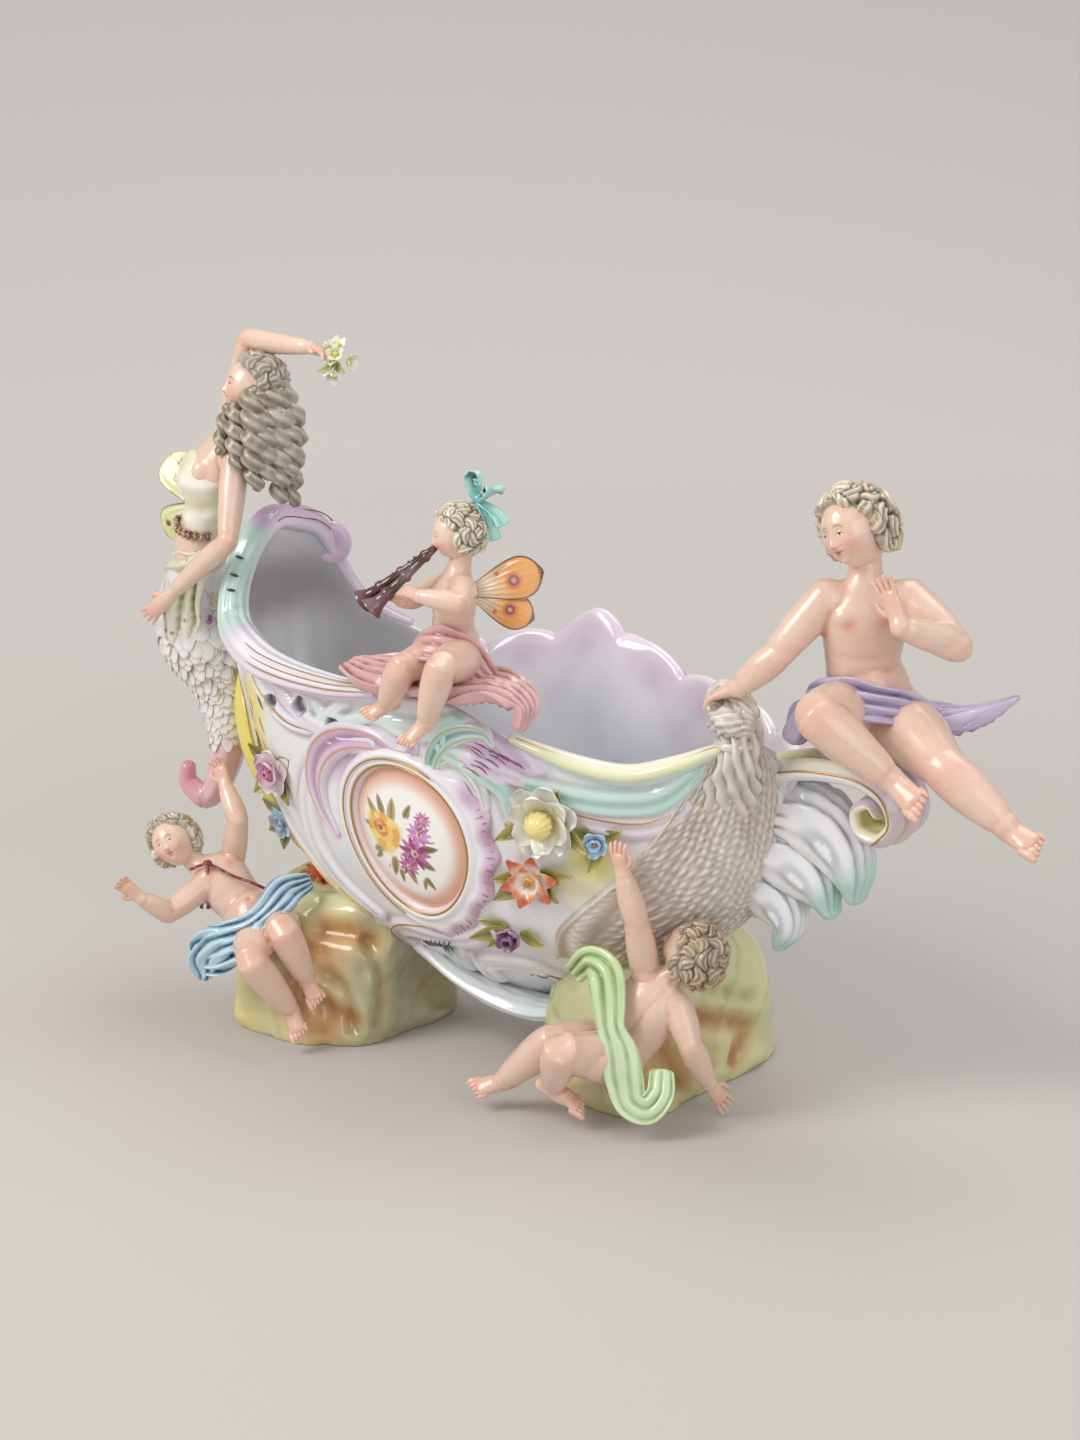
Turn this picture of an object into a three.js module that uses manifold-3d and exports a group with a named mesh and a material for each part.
// A rococo porcelain centrepiece: a boat-shaped bowl on two rock feet, with a fairy figurehead,
// a piper on the front rim, a boy with a fishing net on the stern and a child at each rock.
// Millimetres, +Z up, the floor at Z = 0. The bow points to -X and the front is -Y.
import * as THREE from "three";
import { mergeVertices } from "three/addons/utils/BufferGeometryUtils.js";
import Module from "manifold-3d";

const wasm = await Module();
wasm.setup();

const at = (x, y, z) => new THREE.Vector3(x, y, z);
const radians = THREE.MathUtils.degToRad;

// Driving dimensions

// The gap between two pieces that rest on each other.
const clearance = 0.3;

// The bowl's main sizes, which everything on it follows, and its middle.
const bowl = {
  length: 298, width: 144, height: 222, centreX: -30, centreY: 7, wall: 4.5, floor: 7,
  angles: 50, outerRows: 8, innerRows: 4,
};
// Percentages of the main sizes as millimetres, and a place in plan.
const long = (percent) => (bowl.length * percent) / 100;
const wide = (percent) => (bowl.width * percent) / 100;
const tall = (percent) => (bowl.height * percent) / 100;
const spot = (lengthPercent, widthPercent) =>
  at(bowl.centreX + long(lengthPercent), bowl.centreY + wide(widthPercent), 0);

// The bowl's outside by height: its ends either way from the middle, and its half width, in percent.
const bowlLevels = [
  { height: 13.5, left: -6.7, right: 12.1, halfWidth: 8.3 },
  { height: 20.7, left: -22.1, right: 24.2, halfWidth: 21.5 },
  { height: 27, left: -31.5, right: 32.2, halfWidth: 30.6 },
  { height: 36, left: -39.3, right: 39.9, halfWidth: 36.8 },
  { height: 47.3, left: -44.3, right: 45, halfWidth: 41 },
  { height: 60.8, left: -47.7, right: 48, halfWidth: 44.4 },
  { height: 74.3, left: -49.7, right: 50, halfWidth: 47.2 },
  { height: 85.6, left: -50, right: 50, halfWidth: 49.3 },
  { height: 99.5, left: -45.6, right: 46.3, halfWidth: 50 },
];

// The rim's height in percent by plan angle in degrees: 0 is the stern, 90 the back, 180 the bow.
const rimHeights = [
  [0, 68], [20, 67.6], [38, 68.9], [52, 71.6], [67, 74.3], [80, 78.4], [90, 83.3], [98, 79.3], [108, 76.1],
  [118, 74.8], [130, 76.1], [141, 80.6], [150, 89.2], [160, 96.8], [170, 99.1], [180, 100], [188, 98.6],
  [196, 94.6], [201, 87.8], [206, 82], [215, 79.3], [230, 76.6], [250, 76.6], [265, 78.8], [275, 78.8],
  [283, 75.2], [290, 72.5], [300, 69.4], [310, 68.5], [320, 71.2], [330, 74.8], [340, 75.2], [350, 71.2],
  [360, 68],
];

// Openings pierced through the wall beside the hood: plan angle, height and radii.
const piercings = [
  { angle: 229, height: tall(68.5), halfAcross: 4.5, halfUp: 3 },
  { angle: 239, height: tall(71.2), halfAcross: 3.5, halfUp: 4 },
  { angle: 248, height: tall(69.4), halfAcross: 4, halfUp: 3 },
];

// Raised scrolls on the wall: [plan angle, height percent, half width] along each, and its rise.
const wallScrolls = [
  { rise: 3, path: [[219, 75.7, 3.5], [232, 67.6, 4.5], [241, 67.1, 3.5], [252, 74.8, 3]] },
  { rise: 3, path: [[236, 70.3, 3], [243, 68, 3.5], [251, 66.2, 4], [258, 67.6, 4]] },
  { rise: 2.6, path: [[253, 71.2, 3], [259, 73.4, 3], [266, 72.1, 4], [273, 73.4, 4]] },
  { rise: 3.2, path: [[277, 76, 3.5], [274, 70.3, 4.5], [279, 67.1, 4.5], [285, 63.1, 4], [287, 57.7, 3]] },
  { rise: 3.2, path: [[290, 65.3, 3.5], [298, 63.5, 5], [307, 63.1, 5.5], [316, 64.4, 5], [323, 69, 4]] },
  { rise: 2.2, path: [[292, 61.7, 3], [302, 59, 4.5], [312, 58.6, 5], [321, 63, 3]] },
  { rise: 2.4, path: [[214, 41.4, 4], [220, 35.1, 5], [230, 29.7, 5], [240, 26.1, 4]] },
  { rise: 3, path: [[232, 19.8, 4], [242, 24.3, 5], [257, 27, 5], [272, 27.9, 4], [281, 31.5, 4]] },
  { rise: 2.6, path: [[268, 17.1, 5], [272, 20.7, 5], [281, 23.4, 5], [293, 23.4, 5], [306, 20.7, 4]] },
];

// Rolled lips along the rim: the plan angles they run over, and their radius at even steps.
const lips = {
  mouth_rim: {
    from: 131, to: 261, radii: [3, 7, 7.5, 5.5, 5, 5.5, 6, 5, 4], stops: 25, rows: 19, colour: 0xcbb6cf,
  },
  lobe_rim: { from: 288, to: 329, radii: [3, 4.5, 4.5, 4.5, 3], stops: 13, rows: 12, colour: 0xbfd8cf },
};

// Rock feet, flat underneath. Their facets are slanting faces, each given by its plan direction and
// its rise in degrees and by its distance from the rock's middle at half height.
const rocks = {
  rock_left: {
    centre: spot(-28.2, -9), halfLength: long(14.1), halfWidth: wide(27.8), height: tall(29.7),
    shoulder: 0.9, colour: 0xb9b184,
    facets: [
      [-38, 14, wide(30.6)], [-150, 20, wide(31.3)], [140, 22, wide(30.6)], [48, 16, wide(29.9)],
      [5, 28, wide(31.3)],
    ],
  },
  rock_right: {
    centre: spot(23.5, 7.6), halfLength: long(12.8), halfWidth: wide(38.2), height: tall(28.8),
    shoulder: 0.86, colour: 0xb5aa78,
    facets: [
      [-25, 15, wide(32)], [28, 18, wide(32.6)], [130, 20, wide(36.1)], [-140, 16, wide(34.7)],
      [75, 24, wide(40.3)],
    ],
  },
};
// Low ledges in front of the rocks, where the two children sit.
const ledges = {
  rock_left: { centre: spot(-30.5, -32.6), halfLength: long(9.1), halfWidth: wide(10.4), height: tall(18.9) },
  rock_right: { centre: spot(25.8, -23.6), halfLength: long(9.4), halfWidth: wide(10.4), height: tall(8.6) },
};

const cartouche = {
  angle: 264, height: tall(49.1), halfAcross: 32, halfUp: 38,
  band: 5.5, frameThick: 10, plaqueCrown: 4, seam: 0.5,
};

// The fishing net: its two slanting edges as [height percent, plan angle], and its knot.
const net = {
  thick: 3, knotRadius: 7.5, knotAngle: 333,
  leftEdge: [[27.5, 299], [36, 298], [53.6, 313], [70.7, 325]],
  rightEdge: [[27.5, 340], [40.5, 358], [58.6, 355], [70.7, 345]],
};
const stern = { height: tall(67.6), thick: 34, finThick: 20 };
const wingThick = { piper: 2.8, fairy: 3.6 };
const pipes = { mouthRadius: 1.4, waistRadius: 2.2, bellRadius: 4.6 };
// The middle of the whole footprint, which becomes the part's origin.
const footprintMiddle = spot(13.1, -11.8);
const porcelain = { roughness: 0.16, metalness: 0 };

// Curves and surfaces

// A smooth value through knots [x, y], level beyond both ends.
function smooth(knots, x) {
  const last = knots.length - 1;
  if (x <= knots[0][0]) return knots[0][1];
  if (x >= knots[last][0]) return knots[last][1];
  const i = knots.findIndex(([next]) => next > x) - 1;
  const slope = (j) => {
    const a = knots[Math.max(j - 1, 0)];
    const b = knots[Math.min(j + 1, last)];
    return (b[1] - a[1]) / (b[0] - a[0]);
  };
  const [x0, y0] = knots[i];
  const [x1, y1] = knots[i + 1];
  const step = x1 - x0;
  const t = (x - x0) / step;
  const bend = t * t * (3 - 2 * t);
  const lead = t * (1 - t) * (1 - t) * step;
  const trail = t * t * (t - 1) * step;
  return y0 + (y1 - y0) * bend + slope(i) * lead + slope(i + 1) * trail;
}

const bowlCurves = {
  left: bowlLevels.map(({ height, left }) => [tall(height), spot(left, 0).x]),
  right: bowlLevels.map(({ height, right }) => [tall(height), spot(right, 0).x]),
  halfWidth: bowlLevels.map(({ height, halfWidth }) => [tall(height), wide(halfWidth)]),
};
const bowlSide = (side, height) => smooth(bowlCurves[side], height);
const bowlBottom = tall(bowlLevels[0].height);
const rimCurve = rimHeights.map(([angle, percent]) => [angle, tall(percent)]);
const rimHeight = (angle) => smooth(rimCurve, ((angle % 360) + 360) % 360);

// A point of the bowl's outside at a plan angle and height, moved out by a lift.
function bowlPoint(angle, height, lift = 0) {
  const left = bowlSide("left", height);
  const right = bowlSide("right", height);
  const halfLength = (right - left) / 2 + lift;
  const halfWidth = bowlSide("halfWidth", height) + lift;
  const turn = radians(angle);
  const middle = (left + right) / 2;
  return at(middle + halfLength * Math.cos(turn), bowl.centreY + halfWidth * Math.sin(turn), height);
}

const rimPoint = (angle, lift = 0) => bowlPoint(angle, rimHeight(angle), lift);

// The bowl's outward direction at a plan angle and height.
function bowlNormal(angle, height) {
  const along = bowlPoint(angle + 1, height).sub(bowlPoint(angle - 1, height));
  const up = bowlPoint(angle, height + 1).sub(bowlPoint(angle, height - 1));
  return along.cross(up).normalize();
}

// Solids

// A closed geometry as a solid with its faces pointing out.
function solid(geometry) {
  const bare = geometry.clone();
  bare.deleteAttribute("normal");
  bare.deleteAttribute("uv");
  const merged = mergeVertices(bare, 1e-4);
  const faces = Uint32Array.from(merged.index.array);
  const make = (triVerts) =>
    new wasm.Manifold(
      new wasm.Mesh({ numProp: 3, vertProperties: merged.attributes.position.array, triVerts }),
    );
  const made = make(faces);
  return made.volume() < 0 ? make(faces.reverse()) : made;
}

const join = (solids) => solids.reduce((all, next) => all.add(next));

// A geometry with each vertex moved to place(x, y, z).
function reshape(geometry, place) {
  const position = geometry.attributes.position;
  for (let i = 0; i < position.count; i += 1) {
    const moved = place(position.getX(i), position.getY(i), position.getZ(i));
    position.setXYZ(i, moved.x, moved.y, moved.z);
  }
  return geometry;
}

// A round-ended body along a smooth line. Each stop is [point, half width, half depth].
// The width lies along `across`; without it the section is carried along unturned.
function loft(stops, { across = null, sides = 8, rows = 12, grow = 0 } = {}) {
  const capRows = 2;
  const runs = rows - 2 * capRows;
  const line = new THREE.CatmullRomCurve3(stops.map(([point]) => point));
  const girth = new THREE.CatmullRomCurve3(stops.map(([, wide, deep = wide]) => at(wide, deep, 0)));
  const frames = line.computeFrenetFrames(runs, false);
  const geometry = new THREE.SphereGeometry(1, sides, rows);
  const { position, uv } = geometry.attributes;
  for (let i = 0; i < position.count; i += 1) {
    const row = Math.round((1 - uv.getY(i)) * rows);
    const run = THREE.MathUtils.clamp(row - capRows, 0, runs);
    const share = run / runs;
    const size = girth.getPoint(line.getUtoTmapping(share)).addScalar(grow);
    const tangent = frames.tangents[run];
    const wideWay = across ? across.clone().projectOnPlane(tangent).normalize() : frames.normals[run];
    const deepWay = tangent.clone().cross(wideWay);
    const past = row - capRows - run;
    const roundOff = (past / capRows) * (Math.PI / 2);
    const turn = uv.getX(i) * 2 * Math.PI;
    const moved = line.getPointAt(share)
      .addScaledVector(tangent, Math.sin(roundOff) * Math.min(size.x, size.y))
      .addScaledVector(wideWay, Math.cos(roundOff) * Math.cos(turn) * size.x)
      .addScaledVector(deepWay, Math.cos(roundOff) * Math.sin(turn) * size.y);
    position.setXYZ(i, moved.x, moved.y, moved.z);
  }
  return geometry;
}

// A ball stretched to three half sizes along its own directions.
function ball(centre, sizes, options = {}) {
  const { front = at(1, 0, 0), top = at(0, 0, 1), grow = 0, sides = 10, rows = 7 } = options;
  const forward = front.clone().normalize();
  const sideways = top.clone().cross(forward).normalize();
  const upward = forward.clone().cross(sideways);
  return reshape(new THREE.SphereGeometry(1, sides, rows), (x, y, z) =>
    centre.clone()
      .addScaledVector(forward, x * (sizes[0] + grow))
      .addScaledVector(sideways, z * (sizes[1] + grow))
      .addScaledVector(upward, y * (sizes[2] + grow)));
}

// Lays a flat design on the bowl's outside: x runs right as seen from outside, y up and z out.
function onBowl(geometry, angle, height) {
  const perDegree = bowlPoint(angle + 1, height).distanceTo(bowlPoint(angle - 1, height)) / 2;
  const perHeight = bowlPoint(angle, height + 1).distanceTo(bowlPoint(angle, height - 1)) / 2;
  return reshape(geometry, (x, y, z) => {
    const spotAngle = angle + x / perDegree;
    const spotHeight = height + y / perHeight;
    return bowlPoint(spotAngle, spotHeight).addScaledVector(bowlNormal(spotAngle, spotHeight), z);
  });
}

// Every piece in the order in which it is cut: a later piece is cut back from the earlier ones.
const pieces = [];
function piece(name, colour, shape) {
  pieces.push({ name, colour, shape });
}

// The vessel

// Outer and inner skin in one closed grid: up the outside to the rim and down the inside.
function shell(grow) {
  const { angles, outerRows, innerRows, wall, floor } = bowl;
  const rows = outerRows + innerRows + 3;
  const geometry = new THREE.SphereGeometry(1, angles, rows);
  const { position, uv } = geometry.attributes;
  const low = bowlBottom - grow;
  const innerLow = bowlBottom + floor + grow;
  for (let i = 0; i < position.count; i += 1) {
    const row = Math.round((1 - uv.getY(i)) * rows);
    const angle = uv.getX(i) * 360;
    const outside = row <= outerRows + 1;
    const fromLow = outside ? Math.max(row - 1, 0) : Math.max(rows - 1 - row, 0);
    const share = fromLow / (outside ? outerRows : innerRows);
    const bottom = outside ? low : innerLow;
    const height = bottom + (rimHeight(angle) + grow - bottom) * share;
    const place = bowlPoint(angle, height, outside ? grow : -wall - grow);
    if (row === 0 || row === rows) {
      place.copy(bowlPoint(0, height)).add(bowlPoint(180, height)).multiplyScalar(0.5);
    }
    position.setXYZ(i, place.x, place.y, place.z);
  }
  return solid(geometry);
}

// The scrolls of the wall on the front, and on the back as in a mirror.
function scrolls(grow) {
  const raised = ({ rise, path }, turned) => {
    const stops = path.map(([angle, percent, wide]) =>
      [bowlPoint(turned ? 360 - angle : angle, tall(percent)), rise, wide]);
    const [middle, percent] = path[Math.floor(path.length / 2)];
    const across = bowlNormal(turned ? 360 - middle : middle, tall(percent));
    return solid(loft(stops, { across, sides: 6, rows: 9, grow }));
  };
  return join(wallScrolls.flatMap((scroll) => [raised(scroll, false), raised(scroll, true)]));
}

piece("bowl_shell", 0xe6e6ea, (grow) => {
  const hole = ({ angle, height, halfAcross, halfUp }) => {
    const middle = bowlPoint(angle, height, -bowl.wall / 2);
    const out = bowlNormal(angle, height);
    const sizes = [2 * bowl.wall, halfAcross - grow, halfUp - grow];
    return solid(ball(middle, sizes, { front: out, sides: 6, rows: 4 }));
  };
  return shell(grow).add(scrolls(grow)).subtract(join(piercings.map(hole)));
});

// The rocks narrow by this share towards the top, from this level on.
const topRounding = { from: 0.8, share: 0.12 };
for (const [name, rock] of Object.entries(rocks)) {
  const { centre, halfLength, halfWidth, height, shoulder, facets } = rock;
  piece(name, rock.colour, (grow) => {
    const lump = (x, y, z) => 1 + 0.05 * Math.sin(5 * x + 2 * z) + 0.05 * Math.sin(4 * y - 3 * z);
    const stone = (middle, long, wide, tall) =>
      solid(reshape(new THREE.CylinderGeometry(1, 1, 1, 16, 5), (x, y, z) => {
        const level = y + 0.5;
        const boxy = 1 / Math.pow(x ** 4 + z ** 4 || 1, 0.25);
        const topLevel = Math.max(0, level - topRounding.from) / (1 - topRounding.from);
        const rounding = 1 - topRounding.share * topLevel ** 2;
        const narrowing = 1 - (1 - shoulder) * level * level * 2;
        const reach = narrowing * rounding * lump(x, z, level) * (x || z ? boxy : 1);
        const [alongReach, sideReach] = [reach * long + grow, reach * wide + grow];
        return at(middle.x + x * alongReach, middle.y + z * sideReach, level * (tall + grow));
      }));
    const middle = centre.clone().setZ(height / 2);
    const trimmed = facets.reduce((body, [plan, rise, distance]) => {
      const way = at(0, 0, 1).applyAxisAngle(at(0, 1, 0), radians(90 - rise));
      way.applyAxisAngle(at(0, 0, 1), radians(plan)).negate();
      return body.trimByPlane(way.toArray(), way.dot(middle) - distance - grow);
    }, stone(centre, halfLength, halfWidth, height));
    const ledge = ledges[name];
    return trimmed.add(stone(ledge.centre, ledge.halfLength, ledge.halfWidth, ledge.height));
  });
}

// Figures

// Joints as steps from the pelvis; girths are half sizes in millimetres.
const netBoySeat = bowlPoint(0, stern.height).add(at(32, 1, 33));
const figures = {
  net_boy: {
    pelvis: netBoySeat,
    waist: at(-4, -2, 20), chest: at(-2, -6, 43), neck: at(-3, -4, 58), head: at(-6, -6, 77),
    rightShoulder: at(-15, -15, 49), rightElbow: at(-30, -28, 25), rightWrist: at(-44, -33, 11),
    rightHand: at(-53, -34, 7),
    leftShoulder: at(13, 5, 49), leftElbow: at(38, 1, 33),
    leftWrist: at(24, -22, 44), leftHand: at(18, -22, 56),
    rightHip: at(-7, -9, 0), rightKnee: at(0, -46, 9),
    rightAnkle: at(27, -34, -15), rightToe: at(42, -42, -20),
    leftHip: at(9, 4, -1), leftKnee: at(45, -20, -12), leftAnkle: at(72, -20, -30), leftToe: at(86, -24, -33),
    scale: 1, face: at(-0.35, -0.85, 0.12), hair: 0xb3a691,
  },
  piper: {
    pelvis: rimPoint(272).add(at(8, 8, 20)),
    waist: at(-2, 0, 12), chest: at(1, -3, 27), neck: at(2, -1, 38), head: at(3, -2, 53),
    leftShoulder: at(10, -9, 32), leftElbow: at(18, -22, 29),
    leftWrist: at(2, -28, 31), leftHand: at(-7, -26, 32),
    rightShoulder: at(-8, 4, 29), rightElbow: at(-22, 0, 21), rightWrist: at(-20, -12, 23),
    rightHand: at(-22, -17, 25),
    rightHip: at(-6, 3, -1), rightKnee: at(-8, -28, -1),
    rightAnkle: at(-21, -22, -20), rightToe: at(-27, -27, -23),
    leftHip: at(7, -4, 0), leftKnee: at(18, -36, 5), leftAnkle: at(8, -33, -20), leftToe: at(2, -40, -27),
    scale: 0.68, face: at(-0.95, -0.3, -0.1), hair: 0xb9ad98,
  },
  rester: {
    pelvis: rocks.rock_left.centre.clone()
      .add(at(-15, -rocks.rock_left.halfWidth - 5, rocks.rock_left.height - 15)),
    waist: at(-14, 3, 6), chest: at(-28, 3, 17), neck: at(-38, 0, 22), head: at(-48, -4, 32),
    rightShoulder: at(-30, -8, 14), rightElbow: at(-35, -24, 6), rightWrist: at(-40, -36, 15),
    rightHand: at(-44, -42, 22),
    leftShoulder: at(-27, 12, 25), leftElbow: at(-21, 9, 44),
    leftWrist: at(-31, 13, 57), leftHand: at(-35, 14, 64),
    rightHip: at(1, -6, -1), rightKnee: at(16, -28, -5),
    rightAnkle: at(23, -10, -32), rightToe: at(30, -15, -39),
    leftHip: at(3, 5, 0), leftKnee: at(23, -14, 7), leftAnkle: at(27, -3, -19), leftToe: at(34, -6, -25),
    scale: 0.74, face: at(-0.3, -0.8, 0.35), hair: 0xb0a58f,
  },
  climber: {
    pelvis: rocks.rock_right.centre.clone()
      .add(at(15, -rocks.rock_right.halfWidth - 6, ledges.rock_right.height + 10)),
    waist: at(9, 5, 10), chest: at(15, 8, 24), neck: at(21, 13, 35), head: at(30, 17, 45),
    rightShoulder: at(11, 9, 37), rightElbow: at(12, 0, 62),
    rightWrist: at(8, -4, 82), rightHand: at(7, -6, 90),
    leftShoulder: at(27, 10, 23), leftElbow: at(35, 7, 9),
    leftWrist: at(37, 18, -11), leftHand: at(39, 26, -21),
    rightHip: at(-8, 1, 1), rightKnee: at(-16, -21, 8),
    rightAnkle: at(-40, -22, -14), rightToe: at(-50, -29, -17),
    leftHip: at(6, -3, -2), leftKnee: at(-3, -33, 11),
    leftAnkle: at(-13, -25, -10), leftToe: at(-2, -20, -17),
    scale: 0.82, face: at(-0.6, 0.2, 0.5), hair: 0x9d8562,
  },
};
const fairy = {
  pelvis: bowlPoint(180, tall(85.6)).add(at(-20, -13, 12)),
  waist: at(5, -2, 24), chest: at(13, -2, 47), neck: at(23, 0, 65), head: at(34, 2, 84),
  rightShoulder: at(9, 11, 57), rightElbow: at(21, 12, 103),
  rightWrist: at(61, 7, 104), rightHand: at(72, 4, 103),
  leftShoulder: at(30, -9, 52), leftElbow: at(37, -24, 19),
  leftWrist: at(5, -25, -9), leftHand: at(-9, -25, -21),
  face: at(-0.85, -0.5, 0.1), hair: 0x9b8e7c,
};
// Half sizes of a figure of scale 1.
const girths = {
  pelvis: [20, 15], waist: [18, 13.5], chest: [19.5, 14], collar: [12, 10], neck: [7.5, 7.5],
  shoulder: 8, elbow: 7, wrist: 5, hand: 5.5, hip: 13.5, knee: 10, ankle: 6.5, toe: 4.5, head: 16.5,
};
const fairyGirths = {
  pelvis: [15, 13], waist: [12, 11], chest: [16, 14], collar: [10, 8.5], neck: [6, 6],
  shoulder: 7, elbow: 5.5, wrist: 3.8, hand: 4.2, head: 14,
};
const skin = 0xe9c9b6;
const size = (girth, scale) => [].concat(girth).map((half) => half * scale);

// A joint's place: its step from the pelvis.
const joint = (figure, name) =>
  name === "pelvis" ? figure.pelvis.clone() : figure.pelvis.clone().add(figure[name]);

function torso(figure, girth, scale, grow) {
  const across = figure.leftShoulder.clone().sub(figure.rightShoulder);
  const collar = figure.chest.clone().lerp(figure.neck, 0.6).add(figure.pelvis);
  const stops = [
    [joint(figure, "pelvis"), ...size(girth.pelvis, scale)],
    [joint(figure, "waist"), ...size(girth.waist, scale)],
    [joint(figure, "chest"), ...size(girth.chest, scale)],
    [collar, ...size(girth.collar, scale)],
    [joint(figure, "neck"), ...size(girth.neck, scale)],
    [joint(figure, "neck").lerp(joint(figure, "head"), 0.4), ...size(girth.neck, scale)],
  ];
  return solid(loft(stops, { across, sides: 8, rows: 11, grow }));
}

function limb(figure, names, girth, scale, grow) {
  const stops = names.map(([name, girthName]) => [joint(figure, name), ...size(girth[girthName], scale)]);
  return solid(loft(stops, { sides: 6, rows: 10, grow }));
}

const armStops = (side) => [
  [`${side}Shoulder`, "shoulder"], [`${side}Elbow`, "elbow"],
  [`${side}Wrist`, "wrist"], [`${side}Hand`, "hand"],
];
const legStops = (side) => [
  [`${side}Hip`, "hip"], [`${side}Knee`, "knee"], [`${side}Ankle`, "ankle"], [`${side}Toe`, "toe"],
];

// A head: a smooth face in front of a lumpy cap of curls. The shares are of the head's half size.
const headShape = {
  faceForward: 0.12, faceWide: 0.86, faceTall: 1.02, capBack: 0.22, capUp: 0.16, capSize: 1.08, curl: 0.06,
};
function head(figure, girth, scale, grow) {
  const { faceForward, faceWide, faceTall, capBack, capUp, capSize, curl } = headShape;
  const centre = joint(figure, "head");
  const radius = girth.head * scale;
  const front = figure.face.clone().normalize();
  const face = ball(centre.clone().addScaledVector(front, radius * faceForward),
    [radius, radius * faceWide, radius * faceTall], { front, grow, sides: 8, rows: 5 });
  const capMiddle = centre.clone().addScaledVector(front, -radius * capBack).add(at(0, 0, radius * capUp));
  const curls = ball(at(0, 0, 0), [1, 1, 1], { front, sides: 9, rows: 6 });
  const cap = reshape(curls, (x, y, z) => {
    const bump = capSize + curl * Math.sin(9 * x + 5 * z) * Math.cos(8 * y - 4 * z);
    return capMiddle.clone().addScaledVector(at(x, y, z), radius * bump + grow);
  });
  return solid(face).add(solid(cap));
}

for (const [name, figure] of Object.entries(figures)) {
  const { scale } = figure;
  piece(`${name}_torso`, skin, (grow) => torso(figure, girths, scale, grow));
  for (const side of ["right", "left"]) {
    piece(`${name}_${side}_leg`, skin, (grow) => limb(figure, legStops(side), girths, scale, grow));
  }
  piece(`${name}_head`, figure.hair, (grow) => head(figure, girths, scale, grow));
  for (const side of ["right", "left"]) {
    piece(`${name}_${side}_arm`, skin, (grow) => limb(figure, armStops(side), girths, scale, grow));
  }
}

piece("fairy_torso", skin, (grow) => torso(fairy, fairyGirths, 1, grow));
piece("fairy_head", fairy.hair, (grow) => {
  const hair = [
    [joint(fairy, "head").add(at(10, 0, 4)), 12],
    [fairy.pelvis.clone().add(at(52, 1, 72)), 10],
    [fairy.pelvis.clone().add(at(52, -3, 54)), 8.5],
    [fairy.pelvis.clone().add(at(50, 1, 34)), 6],
  ];
  return head(fairy, fairyGirths, 1, grow).add(solid(loft(hair, { grow, rows: 11 })));
});
piece("fairy_raised_arm", skin, (grow) => limb(fairy, armStops("right"), fairyGirths, 1, grow));
piece("fairy_lowered_arm", skin, (grow) => limb(fairy, armStops("left"), fairyGirths, 1, grow));
piece("fairy_tail", 0xd9d5cf, (grow) => {
  const step = (x, y, z) => fairy.pelvis.clone().add(at(x, y, z));
  const stops = [
    [step(0, 0, -10), 15, 12],
    [step(-1, 1, -32), 18, 14],
    [step(7, 4, -60), 12, 11],
    [step(12, 2, -88), 8, 9],
    [step(4, -4, -112), 5, 6],
    [step(-6, -6, -102), 4, 5],
  ];
  return solid(loft(stops, { across: at(1, 0, 0), sides: 8, rows: 14, grow }));
});

// Drapes and small things that the figures wear or hold

// Porcelain cloth: a flattened loft through steps from a figure's pelvis.
function drape(name, colour, figure, steps, across) {
  piece(name, colour, (grow) => {
    const stops = steps.map(([x, y, z, wide, deep]) => [figure.pelvis.clone().add(at(x, y, z)), wide, deep]);
    return solid(loft(stops, { across, sides: 8, rows: 10, grow }));
  });
}

drape("piper_drape", 0xdba4a6, figures.piper, [
  [-52, -3, -12, 8, 5], [-36, -7, -11, 14, 6], [-14, -8, -11, 16, 7],
  [10, -9, -9, 16, 7], [32, -10, -8, 12, 6],
  [45, -9, -13, 7, 4],
], at(0, 1, 0.1));
drape("net_boy_drape", 0xb1a2c4, figures.net_boy, [
  [-29, -11, -10, 6, 8], [-24, -9, 1, 12, 8], [-4, 2, -9, 19, 8], [12, 14, -6, 15, 9], [28, 18, -3, 11, 8],
  [46, 19, 6, 5, 3],
], at(0, 1, 0.1));
drape("rester_drape", 0xa9cde0, figures.rester, [
  [9, 16, 19, 6, 3], [6, 2, 13, 11, 5], [-2, -7, 3, 13, 7], [-15, -9, -9, 13, 7], [-24, -9, -19, 10, 5],
  [-24, -10, -27, 6, 3],
], at(0.6, -0.3, 0.6));
drape("climber_drape", 0xb9cf8e, figures.climber, [
  [-18, 0, 33, 5, 3], [-8, -4, 40, 6, 4], [4, -8, 35, 7, 4], [7, -13, 20, 8, 4], [11, -16, 4, 9, 4],
  [16, -16, -12, 9, 4], [25, -12, -19, 8, 4], [29, -8, -8, 6, 3],
], at(0.7, 0.3, 0.1));
drape("fairy_sash", 0xe3e2b8, fairy, [
  [14, -16, 4, 5, 3], [4, -12, -2, 10, 5], [-8, -8, -6, 11, 6], [-16, -2, -14, 8, 5],
], at(0, 0, 1));

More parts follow.
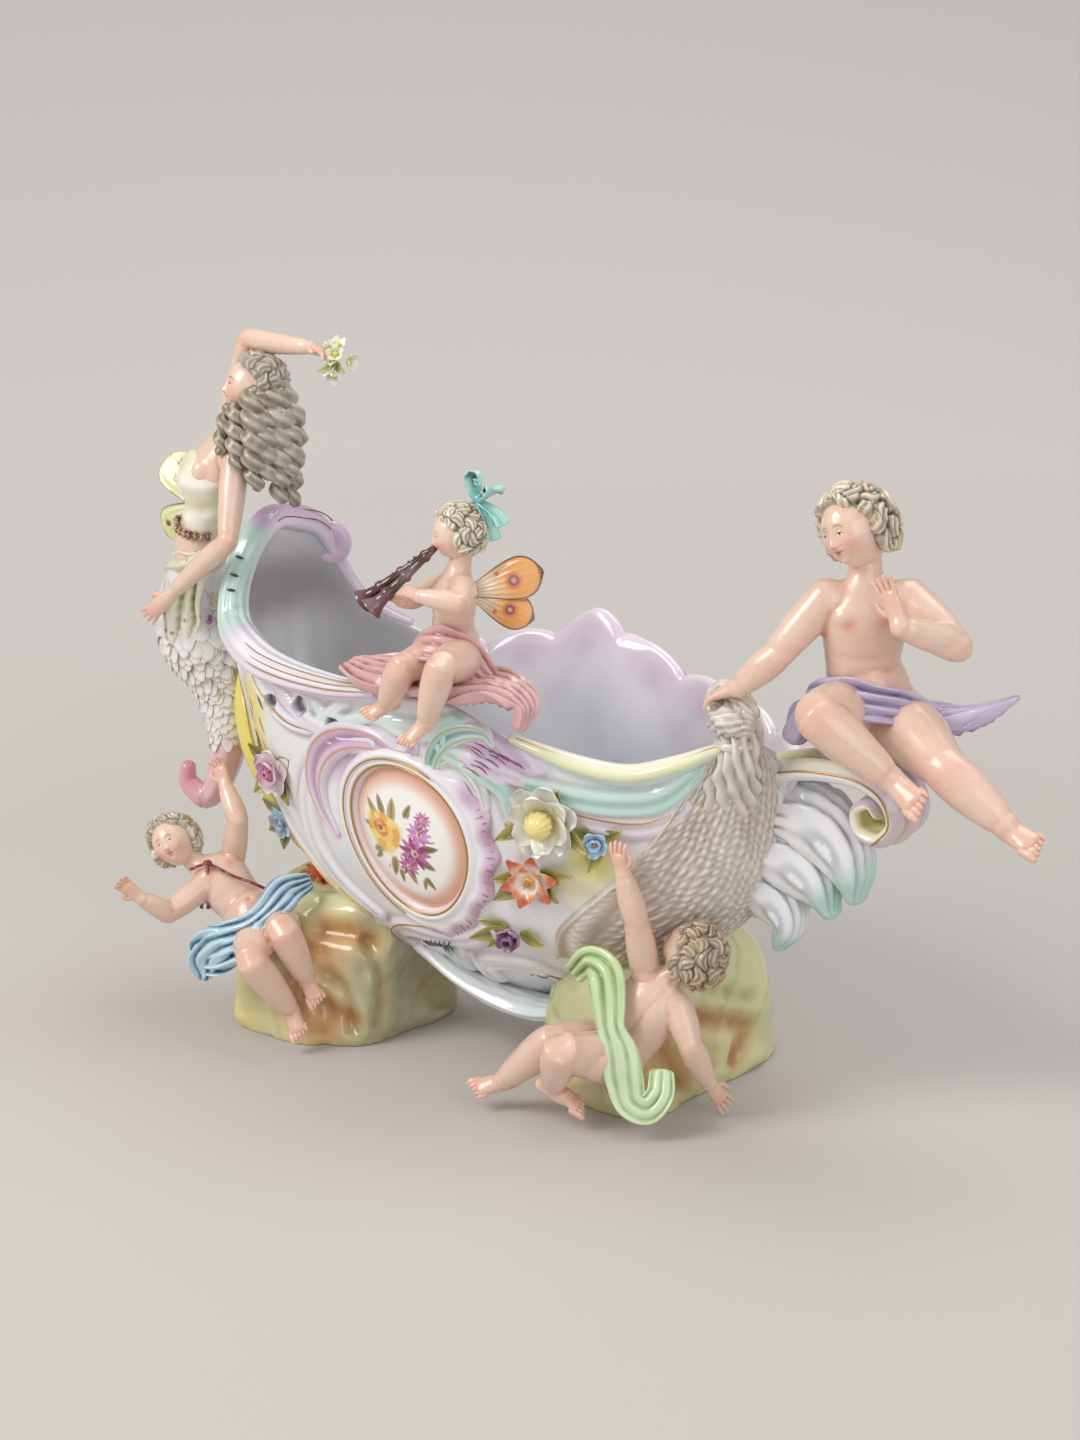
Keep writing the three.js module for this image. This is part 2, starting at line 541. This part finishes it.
// A pair of wings: two flat lobes that share a root and face the front.
const wingFacing = at(0.5, -0.8, 0.2);
function wings(name, colour, figure, root, lobes, thick) {
  piece(name, colour, (grow) => {
    const parts = lobes.map(([tip, half]) => {
      const from = figure.pelvis.clone().add(root);
      const to = figure.pelvis.clone().add(tip);
      const across = to.clone().sub(from).cross(wingFacing);
      const stops = [
        [from, half * 0.5, thick / 2],
        [from.clone().lerp(to, 0.6), half, thick / 2],
        [to, half * 0.8, thick / 2],
      ];
      return solid(loft(stops, { across, sides: 6, rows: 6, grow }));
    });
    return join(parts);
  });
}
const piperLobes = [[at(30, 8, 35), 7], [at(29, 7, 21), 6.5]];
const fairyLobes = [[at(-12, 2, 40), 9], [at(-16, 2, 12), 9]];
wings("piper_wings", 0xe8a45f, figures.piper, at(8, 3, 27), piperLobes, wingThick.piper);
wings("fairy_wings", 0xdedfa9, fairy, at(-2, -4, 28), fairyLobes, wingThick.fairy);

piece("piper_pipes", 0x5b2a33, (grow) => {
  const step = (x, y, z) => figures.piper.pelvis.clone().add(at(x, y, z));
  const mouth = step(-10, -12, 49);
  const { mouthRadius, waistRadius, bellRadius } = pipes;
  const pipe = (bell) => {
    const stops = [[mouth, mouthRadius], [mouth.clone().lerp(bell, 0.6), waistRadius], [bell, bellRadius]];
    return solid(loft(stops, { sides: 5, rows: 6, grow }));
  };
  return pipe(step(-25, -24, 22)).add(pipe(step(-33, -19, 22)));
});
piece("piper_bow", 0x8fcfc8, (grow) => {
  const knot = figures.piper.pelvis.clone().add(at(9, 3, 64));
  const loop = (x, z) => solid(ball(knot.clone().add(at(x, 0, z)), [5, 2.2, 3.6],
    { front: at(x, 0, z), grow, sides: 6, rows: 4 }));
  return join([loop(4, 6), loop(-3, 6), loop(5, -2)]);
});
piece("fairy_posy", 0xe4e6cf, (grow) => {
  const middle = fairy.pelvis.clone().add(at(78, 3, 101));
  const buds = [at(0, 0, 0), at(4, -4, 3), at(5, 3, -1), at(1, -2, -6), at(-3, 3, 4)];
  const budBall = (bud) => ball(middle.clone().add(bud), [4, 4, 4], { grow, sides: 5, rows: 4 });
  return join(buds.map((bud) => solid(budBall(bud))));
});

// Rim, net, scrolls and painted relief

for (const [name, { from, to, radii, stops, rows, colour }] of Object.entries(lips)) {
  piece(name, colour, (grow) => {
    const radiusKnots = radii.map((radius, i) => [i / (radii.length - 1), radius]);
    const path = Array.from({ length: stops }, (_, i) => {
      const share = i / (stops - 1);
      const angle = THREE.MathUtils.lerp(from, to, share);
      const radius = smooth(radiusKnots, share);
      return [rimPoint(angle, -bowl.wall / 2 + radius * 0.35).add(at(0, 0, radius * 0.3)), radius];
    });
    return solid(loft(path, { sides: 6, rows, grow }));
  });
}

// The fishing net: a sheet on the bowl between two slanting edges, gathered in a knot above the rim.
piece("fish_net", 0xd8cfc4, (grow) => {
  const [bottom] = net.leftEdge[0];
  const [top] = net.leftEdge.at(-1);
  const sheet = reshape(new THREE.BoxGeometry(1, 1, 1, 8, 6, 1), (x, y, z) => {
    const share = y + 0.5;
    const mark = bottom + share * (top - bottom);
    const from = smooth(net.leftEdge, mark);
    const angle = from + (x + 0.5) * (smooth(net.rightEdge, mark) - from);
    const height = tall(bottom) + share * (rimHeight(angle) - tall(bottom));
    const thinning = Math.min(1, 6 * Math.min(x + 0.5, 0.5 - x));
    return bowlPoint(angle, height, z > 0 ? net.thick * (0.6 + 0.4 * thinning) + grow : -1);
  });
  const knot = rimPoint(net.knotAngle).add(at(0, 2, 8));
  const gather = [
    [bowlPoint(net.knotAngle, rimHeight(net.knotAngle) - 26, 1), 12, 4],
    [rimPoint(net.knotAngle, 2).add(at(0, 0, -4)), 8, 6],
    [knot, net.knotRadius, net.knotRadius],
    [knot.clone().add(at(-8, 3, 10)), 5, 4],
  ];
  return solid(sheet).add(solid(loft(gather, { across: at(0.8, 0.6, 0), rows: 9, grow })));
});

// A ribbon of porcelain that runs through [x, z, half depth] and lies across the bowl's length.
const sternEnd = bowlPoint(0, stern.height);
function ribbon(steps, halfThick, rows, grow) {
  const stops = steps.map(([x, z, deep]) => [sternEnd.clone().add(at(x, 0, z)), halfThick, deep]);
  return solid(loft(stops, { across: at(0, 1, 0), sides: 8, rows, grow }));
}
piece("stern_scroll", 0xe3d27c, (grow) =>
  ribbon([
    [-22, -14, 4], [-12, 0, 6], [4, 6, 6.5], [20, 8, 6.5],
    [36, 7, 6.5], [49, 0, 6], [51, -11, 5.5], [41, -17, 5],
    [32, -12, 4.5], [35, -5, 3.5],
  ], stern.thick / 2, 16, grow));
piece("stern_fin", 0xd5e2da, (grow) => {
  const half = stern.finThick / 2;
  return join([
    ribbon([
      [-26, -30, 8], [-12, -26, 9], [4, -22, 8], [18, -24, 7], [27, -32, 5], [31, -43, 2.5],
    ], half, 9, grow),
    ribbon([[-30, -36, 8], [-14, -40, 9], [2, -40, 7], [14, -45, 4], [20, -52, 2]], half * 0.8, 8, grow),
    ribbon([[-32, -50, 7], [-18, -52, 8], [-8, -58, 7], [-4, -68, 4], [-10, -76, 2]], half * 0.8, 8, grow),
  ]);
});
piece("keel_apron", 0xdfe6e2, (grow) => {
  const under = (percent, y, z) => spot(percent, 0).add(at(0, y, bowlBottom + z));
  const stops = [
    [under(-12.1, -22, 16), 6, 4], [under(-4, -20, 4), 9, 4], [under(5.4, -18, -3), 11, 4],
    [under(12.1, -22, -1), 9, 4], [under(17.4, -28, 7), 5, 3],
  ];
  return solid(loft(stops, { across: at(0, 1, 0), sides: 8, rows: 10, grow }));
});

piece("cartouche_frame", 0xd9bcc6, (grow) => {
  const { angle, height, halfAcross, halfUp, band, frameThick } = cartouche;
  const ring = reshape(new THREE.TorusGeometry(1, 0.5, 5, 20), (x, y, z) => {
    const reach = Math.hypot(x, y);
    const side = (reach - 1) * 2;
    const swell = side * (band + grow);
    const [across, up] = [(x / reach) * (halfAcross + swell), (y / reach) * (halfUp + swell)];
    return at(across, up, z * (frameThick + 2 * grow));
  });
  return solid(onBowl(ring, angle, height));
});
piece("cartouche_plaque", 0xf1ece4, (grow) => {
  const { angle, height, halfAcross, halfUp, band, plaqueCrown, seam } = cartouche;
  const lens = reshape(new THREE.SphereGeometry(1, 14, 5), (x, y, z) =>
    at(x * (halfAcross - band - seam + grow), y * (halfUp - band - seam + grow), z * (plaqueCrown + grow)));
  return solid(onBowl(lens, angle, height));
});

// A scroll or leaf laid on the bowl: a loft in the flat design [x, y, half width, half depth].
function relief(name, colour, angle, height, path, rows = 11) {
  piece(name, colour, (grow) => {
    const stops = path.map(([x, y, wide, deep]) => [at(x, y, 1), wide, deep]);
    return solid(onBowl(loft(stops, { across: at(0, 0, 1), sides: 6, rows, grow }), angle, height));
  });
}
relief("side_scroll", 0xd9bfd6, 243, tall(59), [
  [17, 16, 3, 3], [6, 20, 4, 4], [-6, 14, 4.5, 5], [-9, 1, 4.5, 5], [-3, -12, 4, 4], [2, -26, 3, 3],
], 12);
relief("front_scroll", 0xdcc6d8, 281, tall(70.7), [
  [-12, 12, 3, 3], [-4, 8, 4, 4], [2, -2, 4, 5], [10, -10, 4, 4], [20, -12, 3, 3],
]);
relief("bow_leaf", 0xe6d76f, 188, tall(50.5), [
  [-2, 44, 6, 5], [0, 28, 10, 10], [2, 10, 11, 12], [4, -8, 8, 12], [8, -24, 5, 8], [12, -36, 3, 4],
]);

// A modelled flower: a scalloped crown round a cup, with leaves beside it, all in the flat design.
function flower(name, colour, { angle, height, petals, petal, cup, leaves = [] }) {
  piece(name, colour, (grow) => {
    const crown = reshape(new THREE.SphereGeometry(1, petals * 3, 3), (x, y, z) => {
      const turn = Math.atan2(z, x);
      const reach = Math.hypot(x, z);
      const radius = (cup * 0.6 + petal * (0.72 + 0.28 * Math.cos(petals * turn))) * reach;
      return at(Math.cos(turn) * (radius + grow * reach), Math.sin(turn) * (radius + grow * reach),
        2 + reach * 1.5 + y * (2.2 + grow));
    });
    const leaf = ([degrees, length, half]) => {
      const turn = radians(degrees);
      const way = at(Math.cos(turn), Math.sin(turn), 0);
      return ball(way.clone().multiplyScalar(cup + length / 2).add(at(0, 0, 1)), [length / 2, half, 2.4],
        { front: way, grow, sides: 5, rows: 3 });
    };
    const heart = ball(at(0, 0, 4), [cup, cup, 3.5], { grow, sides: 6, rows: 4 });
    const shapes = [crown, heart, ...leaves.map(leaf)];
    return join(shapes.map((shape) => solid(onBowl(shape, angle, height))));
  });
}
flower("rose", 0xd99aa6, {
  angle: 221, height: tall(53.6), petals: 5, petal: 8, cup: 4.5,
  leaves: [[35, 11, 3.5], [140, 12, 4], [215, 12, 3.5], [300, 11, 3.5]],
});
flower("forget_me_nots", 0x8fb8dc, {
  angle: 206, height: tall(40.5), petals: 5, petal: 6, cup: 2.5, leaves: [[120, 9, 3.5], [250, 8, 3.5]],
});
flower("red_flower", 0xcf6a44, {
  angle: 210, height: tall(30.6), petals: 5, petal: 6, cup: 2.5, leaves: [[-20, 16, 4], [160, 8, 3]],
});
flower("daffodil", 0xdfe3c4, {
  angle: 293.5, height: tall(59), petals: 6, petal: 12, cup: 6, leaves: [[200, 20, 3.5], [330, 22, 3.5]],
});
flower("star_flower", 0xd97a50, {
  angle: 290.5, height: tall(45.5), petals: 7, petal: 9, cup: 3, leaves: [[20, 20, 4], [215, 14, 4]],
});
flower("purple_bud", 0xa98bbf, {
  angle: 287, height: tall(32.9), petals: 4, petal: 6, cup: 4, leaves: [[190, 15, 4], [350, 11, 3.5]],
});
flower("blue_bell", 0x9fc0d8, {
  angle: 304, height: tall(55.4), petals: 5, petal: 5, cup: 2.5, leaves: [[260, 9, 3]],
});

// The assembly

// The largest connected body of a solid.
function mainBody(shape) {
  const bodies = shape.decompose();
  return bodies.reduce((best, next) => (next.volume() > best.volume() ? next : best));
}

const near = (a, b) =>
  [0, 1, 2].every((i) => a.min[i] - clearance < b.max[i] && b.min[i] - clearance < a.max[i]);

const group = new THREE.Group();
group.position.sub(footprintMiddle);
const placed = [];
for (const { name, colour, shape } of pieces) {
  let body = shape(0);
  const box = body.boundingBox();
  for (const earlier of placed) {
    if (near(box, earlier.box)) body = body.subtract(earlier.grown);
  }
  body = mainBody(body);
  placed.push({ box, grown: shape(clearance) });
  const { vertProperties, triVerts } = body.getMesh();
  const geometry = new THREE.BufferGeometry()
    .setAttribute("position", new THREE.BufferAttribute(vertProperties, 3))
    .setIndex(new THREE.BufferAttribute(triVerts, 1));
  geometry.computeVertexNormals();
  const mesh = new THREE.Mesh(geometry, new THREE.MeshStandardMaterial({ color: colour, ...porcelain }));
  mesh.name = name;
  group.add(mesh);
}

export default group;
